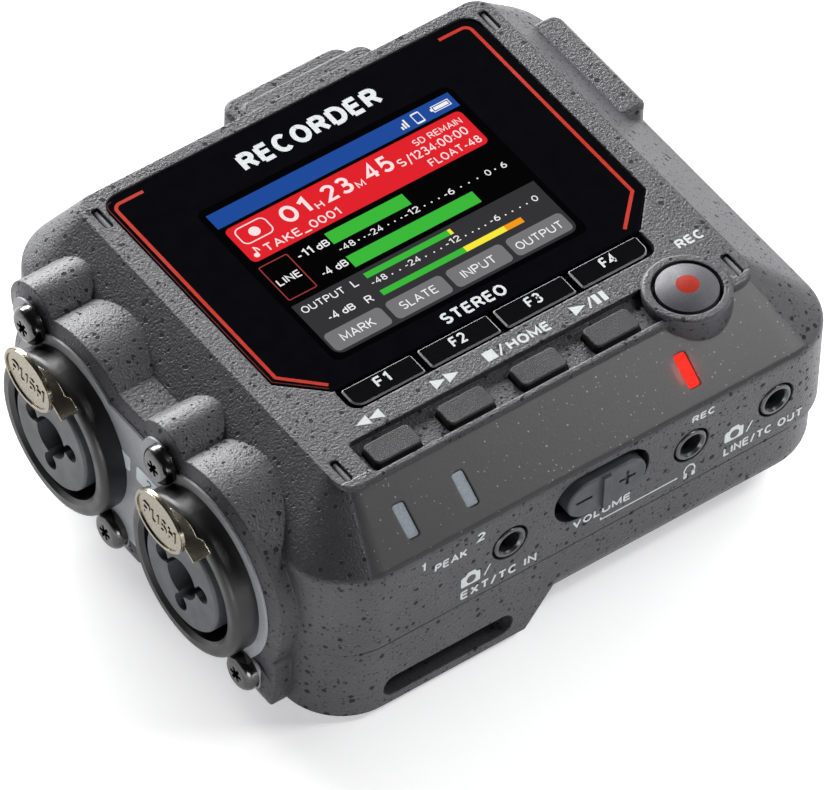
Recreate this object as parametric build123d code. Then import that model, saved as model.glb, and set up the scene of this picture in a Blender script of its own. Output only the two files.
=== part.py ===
from build123d import *
import os

# Portable two-input field recorder, millimetres.
# X runs to the right, Y to the rear, Z up from the surface the recorder stands on.
# The shapes are drawn about the middle of the case and moved together at the end, so
# that the origin is under the middle of the whole recorder, connectors included.

# ---------------------------------------------------------------- case
case_w, case_d = 87.8, 78.0        # upper case across and front to back
top_z = 36.2                       # flat top plateau
shoulder_z = 28.2                  # where the sloping facets meet the upright walls
seam_z = 13.8                      # joint between upper and lower case
base_z = 0.6                       # underside of the deep part; the feet stand below it
corner_r = 9.5                     # upright corners
plateau_w = 69.4                   # plateau across
plateau_front, plateau_rear = -29.5, 33.9
plateau_r = 3.0
plateau_t = 1.2                    # height of the step between plateau and front facet
facet_front = -27.8                # where the front facet's plane reaches the plateau
wall = 2.0
side_overhang = 1.3                # the upper case stands out over the lower on the right
step_x = -9.8                      # right end of the deep part, seen from the front
shallow_z = 4.6                    # underside beside the battery pod
pod_front, pod_rear, pod_right = -31.6, 32.6, 38.4
under_r = 4.0                      # rounding of the shallow part's lower edges

# ---------------------------------------------------------------- display and keys
glass_w, glass_rear, glass_t = 62.7, 31.9, 1.5
glass_drop = 0.15                  # glass below the plateau
glass_cut_y = -8.3                 # where the glass's front corners start to be cut off
glass_gap = 0.15
screen_x, screen_y, screen_w, screen_d = -0.6, 6.3, 40.8, 30.6
key_bay_w, key_bay_x = 51.4, 0.4   # black bay that holds the function keys
key_bay_front, key_bay_rear = -18.6, -13.9
fkey_w, fkey_d, fkey_pitch, fkey_y = 11.6, 3.7, 12.64, -16.1
fkey_x = 0.4
tkey_w, tkey_d, tkey_pitch, tkey_y = 7.5, 3.85, 12.18, -26.1
tkey_rise = 0.25                    # transport keys above the plateau
tkey_x = -6.1
tkey_names = ["rewind_key", "forward_key", "stop_key", "play_key"]
well_depth = 1.1
well_left, well_front, well_rear = -29.3, -28.8, -22.6
key_gap = 0.25                     # running gap round a key
key_top_drop = 0.2                 # function key tops below the plateau
flange_z, flange_t = 32.7, 0.6     # retaining flanges under the keys
key_board_z, key_board_t = 30.7, 0.8
rec_x, rec_y = 24.7, -26.5
rec_r, rec_well_r, rec_boss_r, rec_dot_r = 4.4, 5.0, 6.3, 1.65
rec_rise = 0.7                     # record boss above the plateau

# ---------------------------------------------------------------- front face
front_y = -case_d / 2
jack_z = 21.4
jack_bore_r, jack_ring_r, jack_len = 1.75, 2.6, 14.0
jack_hole_r = 3.0
jack_x = {"camera_in_jack": -13.7, "headphone_jack": 16.85, "line_out_jack": 31.3}
rocker_x, rocker_z = 1.65, 23.0
rocker_well_w, rocker_well_h = 16.0, 8.4
rocker_w, rocker_h, rocker_side = 13.2, 6.3, 0.35
rocker_pivot_y = front_y + 3.3
slot_x, slot_z, slot_w, slot_h = -23.3, 4.5, 21.7, 3.7
light_w, light_len, light_y = 1.85, 5.0, -34.6
peak_light_x, record_light_x = (-28.2, -18.4), 18.85

# ---------------------------------------------------------------- input connectors on the left
conn_y, conn_z = (14.3, -16.3), 17.4
boss_x = -46.5                     # outer edge of the boss's bevelled border
plate_x, plate_t = -47.6, 0.4      # outer face and thickness of the connector plate
ring_x = -51.4                     # outer face of the connector ring
boss_r = 15.9
ear_dy, ear_dz, ear_r = 11.4, 10.7, 5.5    # round screw ear, up and to the rear
foot_dy, foot_dz, foot_w = -14.6, -16.2, 9.2    # square screw ear, down and to the front
bevel_w = 2.0                      # bevelled border of the boss round the plate
bridge_w, bridge_h = 16.0, 27.0    # flat-topped bridge between the two bosses
screw_dy, screw_dz, screw_head = 9.9, 11.7, 1.9
shell_r, shell_bore_r = 12.3, 9.8
insert_r, insert_x = 8.2, -51.6      # disc inside the ring, level with it
leaf_x, leaf_dy, leaf_dz = -54.6, 1.2, 12.5
leaf_rx, leaf_rz = 5.4, 4.3
conn_back = -22.4                  # rear end of the connector bodies
plug_bore_r = 3.25                 # quarter-inch plug bore

# ---------------------------------------------------------------- right side
slider_y, slider_z = 19.0, 24.5
usb_y, usb_z = 0.0, 22.3
card_y, card_z = -18.0, 22.3
card_hinge_x, card_hinge_z = 43.3, 19.75

# ---------------------------------------------------------------- boards, posts and underside
board_z, board_t = 24.4, 1.6
post_places = [(-38.6, 34.2), (-38.6, -34.2), (38.2, 33.2), (38.2, -33.2)]
post_seats = (4.0, 4.0, 8.0, 8.0)  # where the screw heads bear
post_r = 2.3
tripod_place, tripod_r, tripod_bore_r, tripod_depth = (-29.0, -1.75), 4.4, 2.6, 5.0
corner_slots = [(x, y) for x in (-32.75, 32.75) for y in (-26.0, 29.3)]
contact_places = ((-4.6, 1.0), (4.6, 1.0), (0.0, -4.8))

# ---------------------------------------------------------------- batteries
cell_r, cell_len, cell_pitch = 7.15, 50.5, 14.6
cell_x, cell_z = 9.2, 10.0
tray_x0, tray_x1, tray_top = -19.4, 37.4, 18.2
tray_y, tray_t = 30.4, 1.0
door_t = 1.4
door_x0, door_y = -17.6, 28.6


def slab(x0, x1, y0, y1, z0, z1, r=0.0):
    """Upright block between the given limits, with rounded upright corners."""
    outline = RectangleRounded(x1 - x0, y1 - y0, r) if r else Rectangle(x1 - x0, y1 - y0)
    return Pos((x0 + x1) / 2, (y0 + y1) / 2, z0) * extrude(outline, z1 - z0)


def rod_x(x0, x1, y, z, r):
    """Round rod along X."""
    return Plane(origin=(x0, y, z), z_dir=(1, 0, 0)) * extrude(Circle(r), x1 - x0)


def rod_y(y0, y1, x, z, r):
    """Round rod along Y."""
    return Plane(origin=(x, y0, z), x_dir=(-1, 0, 0), z_dir=(0, 1, 0)) * extrude(Circle(r), y1 - y0)


def rod_z(z0, z1, x, y, r):
    """Round rod along Z."""
    return Pos(x, y, z0) * extrude(Circle(r), z1 - z0)


def front_slot(x, z, w, h, y0, y1):
    """Block with round ends, drawn on the front face and extruded along Y."""
    plane = Plane(origin=(x, y0, z), x_dir=(-1, 0, 0), z_dir=(0, 1, 0))
    return plane * extrude(SlotOverall(w, h), y1 - y0)


def edges_near(shape, axis, level, slack=0.02):
    """Edges that lie wholly at one level along an axis."""
    return shape.edges().filter_by_position(axis, level - slack, level + slack)


def side_plane(x, y, z):
    """Plane across X, with its own X to the rear and its own Y up."""
    return Plane(origin=(x, y, z), x_dir=(0, 1, 0), z_dir=(1, 0, 0))


def rect_face(x0, x1, y0, y1, z, r):
    """Flat rounded rectangle at height z."""
    return (Pos((x0 + x1) / 2, (y0 + y1) / 2, z) * RectangleRounded(x1 - x0, y1 - y0, r)).face()


def crown(inset, foot_z, cap_z, front, rear, half_w):
    """Sloping upper part of the case, between the wall outline and the plateau."""
    foot = rect_face(-case_w / 2 + inset, case_w / 2 - inset,
                     -case_d / 2 + inset, case_d / 2 - inset, foot_z, corner_r - inset)
    cap = rect_face(-half_w, half_w, front, rear, cap_z, plateau_r)
    return loft([foot, cap], ruled=True)


def facet_plane(x, y):
    """Plane on the front facet at x, y, with its own Y up the slope."""
    rise, run = top_z - shoulder_z, facet_front - front_y
    length = (rise ** 2 + run ** 2) ** 0.5
    z = shoulder_z + (y - front_y) * rise / run
    return Plane(origin=(x, y, z), x_dir=(1, 0, 0), z_dir=(0, -rise / length, run / length))


def boss_outline(inset, y, x):
    """Connector outline on the YZ plane: a disc with two screw ears, the lower one squared off."""
    ear = Pos(ear_dy, ear_dz) * Circle(ear_r - inset)
    foot = Pos(foot_dy + foot_w / 2, foot_dz + foot_w / 2) * RectangleRounded(
        foot_w - 2 * inset, foot_w - 2 * inset, 1.2)
    return side_plane(x, y, conn_z) * (Circle(boss_r - inset) + ear + foot)


def glass_prism(inset, z0, z1):
    """Block with the outline of the display glass: rear corners round, front corners cut off."""
    half_w, bay = glass_w / 2 - inset, key_bay_w / 2 - inset
    rear, front, cut = glass_rear - inset, key_bay_rear + inset, glass_cut_y + inset * 0.4
    points = [(-half_w, rear), (half_w, rear), (half_w, cut),
              (key_bay_x + bay, front), (key_bay_x - bay, front), (-half_w, cut)]
    solid = Pos(0, 0, z0) * extrude(make_face(Polyline(*points, close=True)), z1 - z0)
    return fillet(solid.edges().filter_by(Axis.Z).group_by(Axis.Y)[-1], 2.6 - inset)


def bridge_outline(inset, x):
    """Outline of the flat-topped bridge between the two connectors."""
    return side_plane(x, sum(conn_y) / 2, conn_z) * Rectangle(bridge_w, bridge_h - 2 * inset)


def both_outlines(inset, x0, x1):
    """Block along X with the joined outline of the two connector bosses."""
    block = extrude(bridge_outline(inset, x0), x1 - x0)
    for y in conn_y:
        block += extrude(boss_outline(inset, y, x0), x1 - x0)
    return block


def row_x(centre, pitch, count=4):
    """Centres of a row of equal keys."""
    return [centre + (i - (count - 1) / 2) * pitch for i in range(count)]


def key_outline(i, gap=0.0):
    """Function key outline: the outer corners of the row are rounder than the inner ones."""
    shape = RectangleRounded(fkey_w + 2 * gap, fkey_d + 2 * gap, 0.4 + gap)
    round_r = 1.6 + gap
    if i in (0, 3):
        side = -1 if i == 0 else 1
        corner = Pos(side * (fkey_w / 2 + gap - round_r / 2), -(fkey_d / 2 + gap - round_r / 2)) * Rectangle(
            round_r, round_r)
        disc = Pos(side * (fkey_w / 2 + gap - round_r), -(fkey_d / 2 + gap - round_r)) * Circle(round_r)
        shape = shape - (corner - disc)
    return shape


# ================================================================ upper case
def upper_case_outer():
    body = slab(-case_w / 2, case_w / 2, -case_d / 2, case_d / 2, seam_z, shoulder_z, corner_r)
    body += crown(0, shoulder_z, top_z, facet_front, plateau_rear, plateau_w / 2)
    body = fillet(edges_near(body, Axis.Z, shoulder_z), 1.5)
    plateau = slab(-plateau_w / 2, plateau_w / 2, plateau_front, plateau_rear,
                   top_z - plateau_t, top_z, plateau_r)
    boss = rod_z(shoulder_z - 1, top_z + rec_rise, rec_x, rec_y, rec_boss_r)
    boss = fillet(edges_near(boss, Axis.Z, top_z + rec_rise), 0.5)
    hood_low = slab(-5.6, 15.4, 30, 40.3, 27, top_z - 3.5, 2.4)
    hood_high = slab(-4.8, 17.2, 28, 37.4, 27, top_z - 1.7, 2.0)
    pad = slab(36, case_w / 2 + 0.4, 7.6, 29.0, 21.0, top_z - 4.6, 1.6)
    body += plateau + boss
    body += chamfer(edges_near(hood_low, Axis.Z, top_z - 3.5), 0.5)
    body += chamfer(edges_near(hood_high, Axis.Z, top_z - 1.7), 0.5)
    return body + chamfer(edges_near(pad, Axis.Z, top_z - 4.6), 0.7)


def connector_bosses(z0, z1):
    """The bosses round the connectors, between two heights, with a bevelled border."""
    bosses = both_outlines(0, boss_x, -34)
    for y in conn_y:
        bosses += loft([boss_outline(0, y, boss_x).face(),
                        boss_outline(bevel_w, y, plate_x + plate_t).face()], ruled=True)
    bosses += loft([bridge_outline(0, boss_x).face(),
                    bridge_outline(bevel_w, plate_x + plate_t).face()], ruled=True)
    return bosses & slab(-60, -34, -45, 45, z0, z1)


def upper_case():
    body = upper_case_outer() + connector_bosses(seam_z, top_z)
    hollow = slab(-case_w / 2 + wall, case_w / 2 - wall, -case_d / 2 + wall, case_d / 2 - wall,
                  seam_z - 1, shoulder_z - 0.9, corner_r - wall)
    hollow += crown(wall, shoulder_z - 0.9, top_z - 2.0, facet_front + 1.2, plateau_rear - 0.8,
                    plateau_w / 2 - 0.8)
    hollow += slab(-31, 30, -29.0, -22, 30, top_z - 2.7) + rod_z(30, top_z - 2.7, rec_x, rec_y, 4.6)
    for x, y in post_places:
        hollow -= rod_z(seam_z + 0.1, 32, x, y, post_r)
    body -= hollow
    for x, y in post_places:
        body -= rod_z(seam_z - 1, 24, x, y, 0.95)
    for y in conn_y:
        body -= rod_x(-60, -30, y, conn_z, shell_r - 0.2)
        for side in (1, -1):
            body -= rod_x(-49, -41.2, y + side * screw_dy, conn_z + side * screw_dz, 1.3)

    # pocket for the glass, bay for the function keys, window over the display
    body -= glass_prism(-glass_gap, top_z - glass_drop - glass_t, top_z + 1)
    body -= slab(key_bay_x - key_bay_w / 2, key_bay_x + key_bay_w / 2, key_bay_front, key_bay_rear + 1,
                 top_z - 3, top_z + 1, 1.9)
    body -= slab(screen_x - 24, screen_x + 24, -12.0, 27.5, 30, top_z, 1.0)

    # well for the transport keys, key holes, record well
    body -= slab(well_left, rec_x, well_front, well_rear, top_z - well_depth, top_z + 1, 0.8) \
        - rod_z(30, 40, rec_x, rec_y, rec_boss_r)
    for x in row_x(tkey_x, tkey_pitch):
        body -= slab(x - tkey_w / 2 - key_gap, x + tkey_w / 2 + key_gap, tkey_y - tkey_d / 2 - key_gap,
                     tkey_y + tkey_d / 2 + key_gap, 30, top_z, 1.0)
    body -= rod_z(top_z - 1.6, top_z + 2, rec_x, rec_y, rec_well_r)
    body -= rod_z(29, top_z, rec_x, rec_y, 3.2)

    # corner slots, light windows
    for x, y in corner_slots:
        body -= slab(x - 0.65, x + 0.65, y - 2.1, y + 2.1, 30, top_z + 1, 0.5)
    for x in (*peak_light_x, record_light_x):
        window = extrude(RectangleRounded(light_w + 0.2, light_len + 0.2, 0.5), 8)
        body -= facet_plane(x, light_y) * Pos(0, 0, -6) * window

    # fine shadow line where the two halves of the case meet
    line = slab(-38, 60, -60, 60, seam_z - 1, seam_z + 0.15)
    body -= line - slab(-case_w / 2 + 0.25, case_w / 2 - 0.25, -case_d / 2 + 0.25, case_d / 2 - 0.25,
                        seam_z - 2, seam_z + 1, corner_r - 0.25)

    # front face
    for x in jack_x.values():
        body -= rod_y(front_y - 1, front_y + 5, x, jack_z, jack_hole_r)
    body -= front_slot(rocker_x, rocker_z, rocker_well_w, rocker_well_h, front_y - 1, front_y + 5)

    # right side: power slider, card slot with its cover's recess, USB
    body -= slab(38, 46, slider_y - 4.6, slider_y + 4.6, slider_z - 1.6, slider_z + 1.6)
    body -= side_slot(usb_y, usb_z, 9.2, 3.5, 38, 46)
    body -= slab(case_w / 2 - 1.2, 46, card_y - 8.2, card_y + 8.2, card_z - 3.4, card_z + 3.3)
    body -= slab(38, 46, card_y - 6.0, card_y + 6.0, card_z - 1.0, card_z + 1.4)
    body -= rod_y(card_y - 8.8, card_y + 8.8, card_hinge_x, card_hinge_z, 0.36)
    return body


def side_slot(y, z, w, h, x0, x1):
    """Block with round ends, drawn on the right wall and extruded along X."""
    plane = Plane(origin=(x0, y, z), x_dir=(0, 1, 0), z_dir=(1, 0, 0))
    return plane * extrude(SlotOverall(w, h), x1 - x0)


# ================================================================ lower case
def lower_case():
    right = case_w / 2 - side_overhang
    shallow = slab(-case_w / 2, right, -case_d / 2, case_d / 2, shallow_z, seam_z, corner_r)
    shallow = fillet(edges_near(shallow, Axis.Z, shallow_z), under_r)
    deep = slab(-case_w / 2, 20, -case_d / 2, case_d / 2, base_z, seam_z, corner_r)
    deep = chamfer(edges_near(deep, Axis.Z, base_z), 0.6)
    slope = Plane.XZ * make_face(Polyline((step_x - 0.9, base_z), (step_x + 5.2, shallow_z + 4.4),
                                          (40, shallow_z + 4.4), (40, base_z), close=True))
    deep -= Pos(0, 50, 0) * extrude(slope, 100)
    pod = slab(-22, pod_right, pod_front, pod_rear, base_z, 8, 3.0)
    body = shallow + deep + chamfer(edges_near(pod, Axis.Z, base_z), 0.5)
    body += connector_bosses(base_z, seam_z)

    rear = case_d / 2 - wall
    hollow = slab(-case_w / 2 + wall, -20.6, -rear, rear, base_z + wall, seam_z + 1)
    hollow += slab(-30, right - wall, -rear, rear, shallow_z + wall, seam_z + 1)
    hollow = hollow & slab(-case_w / 2 + wall, right - wall, -rear, rear, 0, seam_z + 2, corner_r - wall)
    hollow += slab(tray_x0, tray_x1, -tray_y, tray_y, base_z + door_t, seam_z + 1)
    hollow -= slab(slot_x - slot_w / 2 - 1.6, slot_x + slot_w / 2 + 1.6, -40, -31.2,
                   0, slot_z + slot_h / 2 + 1.6)
    hollow -= rod_z(0, 6.8, *tripod_place, tripod_r + 1.6)
    for x, y in post_places:
        hollow -= rod_z(0, seam_z - 0.1, x, y, 3.0)
    body -= hollow

    # battery opening with grooves for the sliding door
    body -= slab(door_x0, pod_right + 1, -door_y, door_y, base_z - 1, base_z + door_t)
    body -= slab(door_x0, pod_right + 1, -door_y - 0.6, door_y + 0.6, base_z + 0.4, base_z + 1.0)

    # strap passage: in at the front, out underneath
    body -= front_slot(slot_x, slot_z, slot_w, slot_h, front_y - 1, -32.8)
    body -= slab(slot_x - slot_w / 2 + 0.8, slot_x + slot_w / 2 - 0.8, -36.4, -32.8, -1, slot_z)

    body -= rod_z(-1, tripod_depth + base_z + 0.6, *tripod_place, tripod_r + 0.03)
    for (x, y), seat in zip(post_places, post_seats):
        body -= rod_z(-1, seat, x, y, 2.15) + rod_z(0, seam_z + 1, x, y, 1.1)
    for y in conn_y:
        body -= rod_x(-60, -30, y, conn_z, shell_r - 0.2)
        body -= rod_x(-49, -41.2, y - screw_dy, conn_z - screw_dz, 1.3)
    return body


# ================================================================ display and keys
def display_window():
    return chamfer(edges_near(glass_prism(0, top_z - glass_drop - glass_t, top_z - glass_drop), Axis.Z,
                              top_z - glass_drop), 0.15)


def lcd_module():
    cell_top = top_z - glass_drop - glass_t - 0.05
    cell = slab(screen_x - 23.4, screen_x + 23.4, -11.4, 27.0, 32.0, cell_top, 0.6)
    tray = slab(screen_x - 23.7, screen_x + 23.7, -11.7, 27.2, 31.6, 33.6, 0.8)
    return tray + cell


def lcd_flex():
    ribbon = slab(-9, 7, 27.25, 27.5, board_z + board_t + 0.02, 33.0)
    return ribbon + slab(-10, 8, 24.4, 27.3, board_z + board_t + 0.02, board_z + board_t + 1.2)


def function_key_frame():
    plate = slab(key_bay_x - key_bay_w / 2 + 0.05, key_bay_x + key_bay_w / 2 - 0.05, key_bay_front + 0.05,
                 key_bay_rear + 0.95, flange_z + flange_t + 0.1, top_z - glass_drop - glass_t - 0.05, 1.85)
    for i, x in enumerate(row_x(fkey_x, fkey_pitch)):
        plate -= Pos(x, fkey_y, 30) * extrude(key_outline(i, 0.2), 8)
    return plate


def function_key(i):
    x = row_x(fkey_x, fkey_pitch)[i]
    cap = Pos(x, fkey_y, flange_z) * extrude(key_outline(i), top_z - key_top_drop - flange_z)
    cap = chamfer(edges_near(cap, Axis.Z, top_z - key_top_drop), 0.22)
    flange = Pos(x, fkey_y, flange_z) * extrude(key_outline(i, 0.4), flange_t)
    return cap + flange


def transport_key(i):
    x = row_x(tkey_x, tkey_pitch)[i]
    cap = slab(x - tkey_w / 2, x + tkey_w / 2, tkey_y - tkey_d / 2, tkey_y + tkey_d / 2,
               flange_z, top_z + tkey_rise, 0.8)
    cap = fillet(edges_near(cap, Axis.Z, top_z + tkey_rise), 0.25)
    return cap + slab(x - tkey_w / 2 - 0.7, x + tkey_w / 2 + 0.7, tkey_y - tkey_d / 2, tkey_y + tkey_d / 2,
                      flange_z, flange_z + flange_t, 0.8)


def record_dome():
    """Cap of the record button: a short drum under a shallow dome."""
    rim_z, rise = top_z + 0.7, 0.85
    ball_r = (rec_r ** 2 + rise ** 2) / (2 * rise)
    drum = rod_z(top_z - 1.05, rim_z, rec_x, rec_y, rec_r)
    ball = Pos(rec_x, rec_y, rim_z + rise - ball_r) * Sphere(ball_r)
    return drum + (ball & rod_z(rim_z, rim_z + 2, rec_x, rec_y, rec_r))


def record_button():
    body = record_dome() - rod_z(top_z + 0.9, top_z + 3, rec_x, rec_y, rec_dot_r)
    body += rod_z(flange_z, top_z - 1.0, rec_x, rec_y, 3.0)
    return body + rod_z(flange_z, flange_z + flange_t, rec_x, rec_y, 4.2)


def record_mark():
    return record_dome() & rod_z(top_z + 0.9, top_z + 3, rec_x, rec_y, rec_dot_r)


def key_mat():
    top = key_board_z + key_board_t
    mat = slab(-30.5, 30.2, -29.6, -13.4, top, top + 0.35, 1.0)
    places = [(x, fkey_y) for x in row_x(fkey_x, fkey_pitch)]
    places += [(x, tkey_y) for x in row_x(tkey_x, tkey_pitch)] + [(rec_x, rec_y)]
    for x, y in places:
        mat += Pos(x, y, top) * Cone(1.5, 1.1, 0.65, align=(Align.CENTER, Align.CENTER, Align.MIN))
    return mat


def key_board():
    return slab(-30.8, 30.4, -30.2, -13.1, key_board_z, key_board_z + key_board_t, 1.0)


# ================================================================ boards
def main_board():
    board = slab(-19.4, 38.0, -30.4, 30.4, board_z, board_z + board_t, 1.0)
    for x, y, w, d, h in ((2, 4, 12, 12, 1.4), (20, 6, 9, 9, 1.2), (-10, 10, 7, 5, 1.0), (27, -12, 6, 8, 1.6),
                          (-8, -14, 10, 4, 1.2), (12, -16, 5, 5, 1.0)):
        board += slab(x - w / 2, x + w / 2, y - d / 2, y + d / 2, board_z + board_t, board_z + board_t + h)
    return board


def preamp_board():
    board = slab(-21.8, -20.4, -29.5, 27.0, 6.9, 29.4)
    for y in conn_y:
        board += slab(-20.45, -19.9, y - 5, y + 5, 20.0, 23.5)
    return board


# ================================================================ front sockets and rocker
def jack(x):
    ring = rod_y(front_y - 0.15, front_y + 2.2, x, jack_z, jack_ring_r)
    ring = fillet(edges_near(ring, Axis.Y, front_y - 0.15), 0.35)
    body = slab(x - 3.9, x + 3.9, front_y + 2.1, front_y + jack_len, jack_z - 2.8, jack_z + 2.8)
    bore = rod_y(front_y - 1, front_y + jack_len - 1, x, jack_z, jack_bore_r)
    mouth = Plane(origin=(x, front_y - 0.15, jack_z), z_dir=(0, 1, 0)) * Cone(
        jack_bore_r + 0.3, jack_bore_r, 0.4, align=(Align.CENTER, Align.CENTER, Align.MIN))
    return ring + body - bore - mouth


def volume_rocker():
    face_y = front_y - 0.8
    body = front_slot(rocker_x + rocker_side, rocker_z - 0.1, rocker_w, rocker_h, face_y, front_y + 2.1)
    body = fillet(edges_near(body, Axis.Y, face_y), 0.35)
    body += Pos(rocker_x, face_y + 0.1, rocker_z - 0.1) * Box(1.3, 1.2, rocker_h - 0.3)
    body -= slab(rocker_x - 4.9, rocker_x - 2.2, face_y - 1, face_y + 0.35, rocker_z - 0.25, rocker_z + 0.25)
    body -= slab(rocker_x + 2.3, rocker_x + 5.1, face_y - 1, face_y + 0.35, rocker_z - 0.25, rocker_z + 0.25)
    body -= slab(rocker_x + 3.45, rocker_x + 3.95, face_y - 1, face_y + 0.35, rocker_z - 1.4, rocker_z + 1.4)
    body += slab(rocker_x - 1.4, rocker_x + 1.4, front_y + 2.0, front_y + 4.1,
                 rocker_z - 3.0, rocker_z + 2.9)
    return body + rod_z(rocker_z - 4.2, rocker_z + 4.2, rocker_x, rocker_pivot_y, 0.7)


def rocker_bracket():
    plate = slab(rocker_x - 7.6, rocker_x + 7.6, front_y + 4.7, front_y + 5.6, rocker_z - 4.6, rocker_z + 4.4)
    for z in (rocker_z - 4.6, rocker_z + 3.2):
        plate += slab(rocker_x - 1.7, rocker_x + 1.7, front_y + 2.3, front_y + 4.8, z, z + 1.2)
    return plate - rod_z(rocker_z - 5, rocker_z + 5, rocker_x, rocker_pivot_y, 0.78)


def rocker_switches():
    return Part() + [slab(rocker_x + s * 4.6 - 1.6, rocker_x + s * 4.6 + 1.6, front_y + 3.0, front_y + 4.65,
                          rocker_z - 1.6, rocker_z + 1.6) for s in (1, -1)]


def light_guide(x):
    return facet_plane(x, light_y) * Pos(0, 0, -2.6) * extrude(RectangleRounded(light_w, light_len, 0.4), 2.4)


def peak_light_guides():
    return Part() + [light_guide(x) for x in peak_light_x]


def corner_pins():
    """Polished pins that show in the four small slots."""
    return Part() + [rod_y(y - 1.75, y + 1.75, x + 0.2, top_z - 0.75, 0.4) for x, y in corner_slots]


# ================================================================ input connectors
def connector_plate():
    plate = both_outlines(bevel_w + 0.05, plate_x, plate_x + plate_t - 0.02)
    for y in conn_y:
        plate -= rod_x(-60, -40, y, conn_z, shell_r - 0.2)
        for side in (1, -1):
            plate -= rod_x(-60, -40, y + side * screw_dy, conn_z + side * screw_dz, 1.4)
    return plate


def connector_shell(y):
    """Barrel with a proud, rounded ring; the latch runs in a notch at its top."""
    ring = rod_x(ring_x, plate_x - 0.02, y, conn_z, shell_r)
    ring = fillet(edges_near(ring, Axis.X, ring_x), 1.1)
    body = ring + rod_x(plate_x - 0.1, conn_back, y, conn_z, shell_r - 0.3)
    body -= rod_x(ring_x - 1, conn_back - 12, y, conn_z, shell_bore_r)
    body -= rod_x(ring_x - 1, conn_back - 1.2, y, conn_z, plug_bore_r)
    mouth = Plane(origin=(ring_x, y, conn_z), z_dir=(1, 0, 0)) * Cone(
        shell_bore_r + 0.6, shell_bore_r, 0.6, align=(Align.CENTER, Align.CENTER, Align.MIN))
    notch = slab(ring_x - 1, ring_x + 8, y - 3.2, y + 3.2, conn_z + 8.0, conn_z + 11.2)
    return body - mouth - notch


def connector_insert(y):
    body = rod_x(insert_x, conn_back - 12.05, y, conn_z, insert_r)
    body = fillet(edges_near(body, Axis.X, insert_x), 0.5)
    body -= rod_x(insert_x - 1, conn_back, y, conn_z, plug_bore_r)
    for dy, dz in contact_places:
        body -= rod_x(insert_x - 1, conn_back - 13, y + dy, conn_z + dz, 1.35)
        web = Box(16, max(abs(dy) * 0.6, 1.2), max(abs(dz) * 0.6, 1.2))
        body -= Pos(insert_x + 7, y + dy * 0.6, conn_z + dz * 0.6) * web
    return body


def connector_contacts(y):
    return Part() + [rod_x(ring_x + 5, conn_back - 13.2, y + dy, conn_z + dz, 1.15)
                     - rod_x(ring_x, conn_back - 16, y + dy, conn_z + dz, 0.85) for dy, dz in contact_places]


def release_latch(y):
    """Push tab: a leaf in front of the ring, and a stem that runs back into the notch."""
    face = Plane(origin=(leaf_x, y + leaf_dy, conn_z + leaf_dz), x_dir=(0, 1, 0), z_dir=(1, 0, 0))
    leaf = face * extrude(Ellipse(leaf_rx, leaf_rz), 0.5)
    stem = slab(leaf_x + 0.4, ring_x + 5.6, y - 2.8, y + 2.8, conn_z + 9.9, conn_z + 10.7)
    return leaf + stem


def connector_screws():
    screws = Part()
    for y in conn_y:
        for side in (1, -1):
            sy, sz = y + side * screw_dy, conn_z + side * screw_dz
            face_x = plate_x - screw_head
            head = rod_x(face_x, plate_x - 0.02, sy, sz, 2.9)
            head = fillet(edges_near(head, Axis.X, face_x), 1.2)
            for turn in (0, 60, 120):
                head -= Pos(face_x, sy, sz) * Rot(turn, 0, 0) * Box(1.8, 2.4, 0.55)
            screws += head + rod_x(plate_x - 0.1, -41.6, sy, sz, 1.25)
    return screws


# ================================================================ right side
def power_slider():
    knob = slab(40.4, case_w / 2 + 1.2, slider_y - 2.0, slider_y + 2.0, slider_z - 1.35, slider_z + 1.35)
    for dy in (-1.2, 0, 1.2):
        knob -= Pos(case_w / 2 + 1.2, slider_y + dy, slider_z) * Box(0.6, 0.4, 4)
    return knob + slab(40.4, 41.6, slider_y - 4.6, slider_y + 4.6, slider_z - 2.6, slider_z + 2.6)


def usb_socket():
    body = side_slot(usb_y, usb_z, 8.9, 3.2, 36.4, 43.7)
    body -= side_slot(usb_y, usb_z, 8.3, 2.6, 37.0, 44)
    return body + slab(36.9, 43.0, usb_y - 3.3, usb_y + 3.3, usb_z - 0.35, usb_z + 0.35)


def card_socket():
    body = slab(29.5, 41.6, card_y - 6.9, card_y + 6.9, card_z - 0.8, card_z + 1.3)
    return body - slab(31, 42, card_y - 5.6, card_y + 5.6, card_z - 0.4, card_z + 0.5)


def card_cover():
    """Flap over the memory card slot, hinged along its lower edge."""
    half = card_y - 8.0, card_y + 8.0
    flap = slab(card_hinge_x - 0.5, card_hinge_x + 0.5, *half, card_hinge_z, card_z + 3.1)
    flap += rod_y(*half, card_hinge_x, card_hinge_z, 0.5)
    flap -= slab(card_hinge_x + 0.2, 46, card_y - 3, card_y + 3, card_z + 2.3, card_z + 4)
    return flap + rod_y(card_y - 8.6, card_y + 8.6, card_hinge_x, card_hinge_z, 0.3)


# ================================================================ batteries
def battery_tray():
    tray = slab(tray_x0 + 0.1, tray_x1 - 0.1, -tray_y + 0.1, tray_y - 0.1, base_z + door_t + 0.05, tray_top)
    tray -= slab(tray_x0 + tray_t, tray_x1 - tray_t, -tray_y + tray_t, tray_y - tray_t, 0, tray_top - 0.9)
    return tray


def battery_cell(i):
    y = row_x(0, cell_pitch)[i]
    x0, x1 = cell_x - cell_len / 2, cell_x + cell_len / 2
    can = rod_x(x0, x1 - 1.2, y, cell_z, cell_r)
    can = fillet(edges_near(can, Axis.X, x0) + edges_near(can, Axis.X, x1 - 1.2), 0.8)
    cell = can + rod_x(x1 - 1.3, x1, y, cell_z, 2.75)
    return cell if i % 2 == 0 else cell.rotate(Axis((cell_x, y, 0), (0, 0, 1)), 180)


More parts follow.
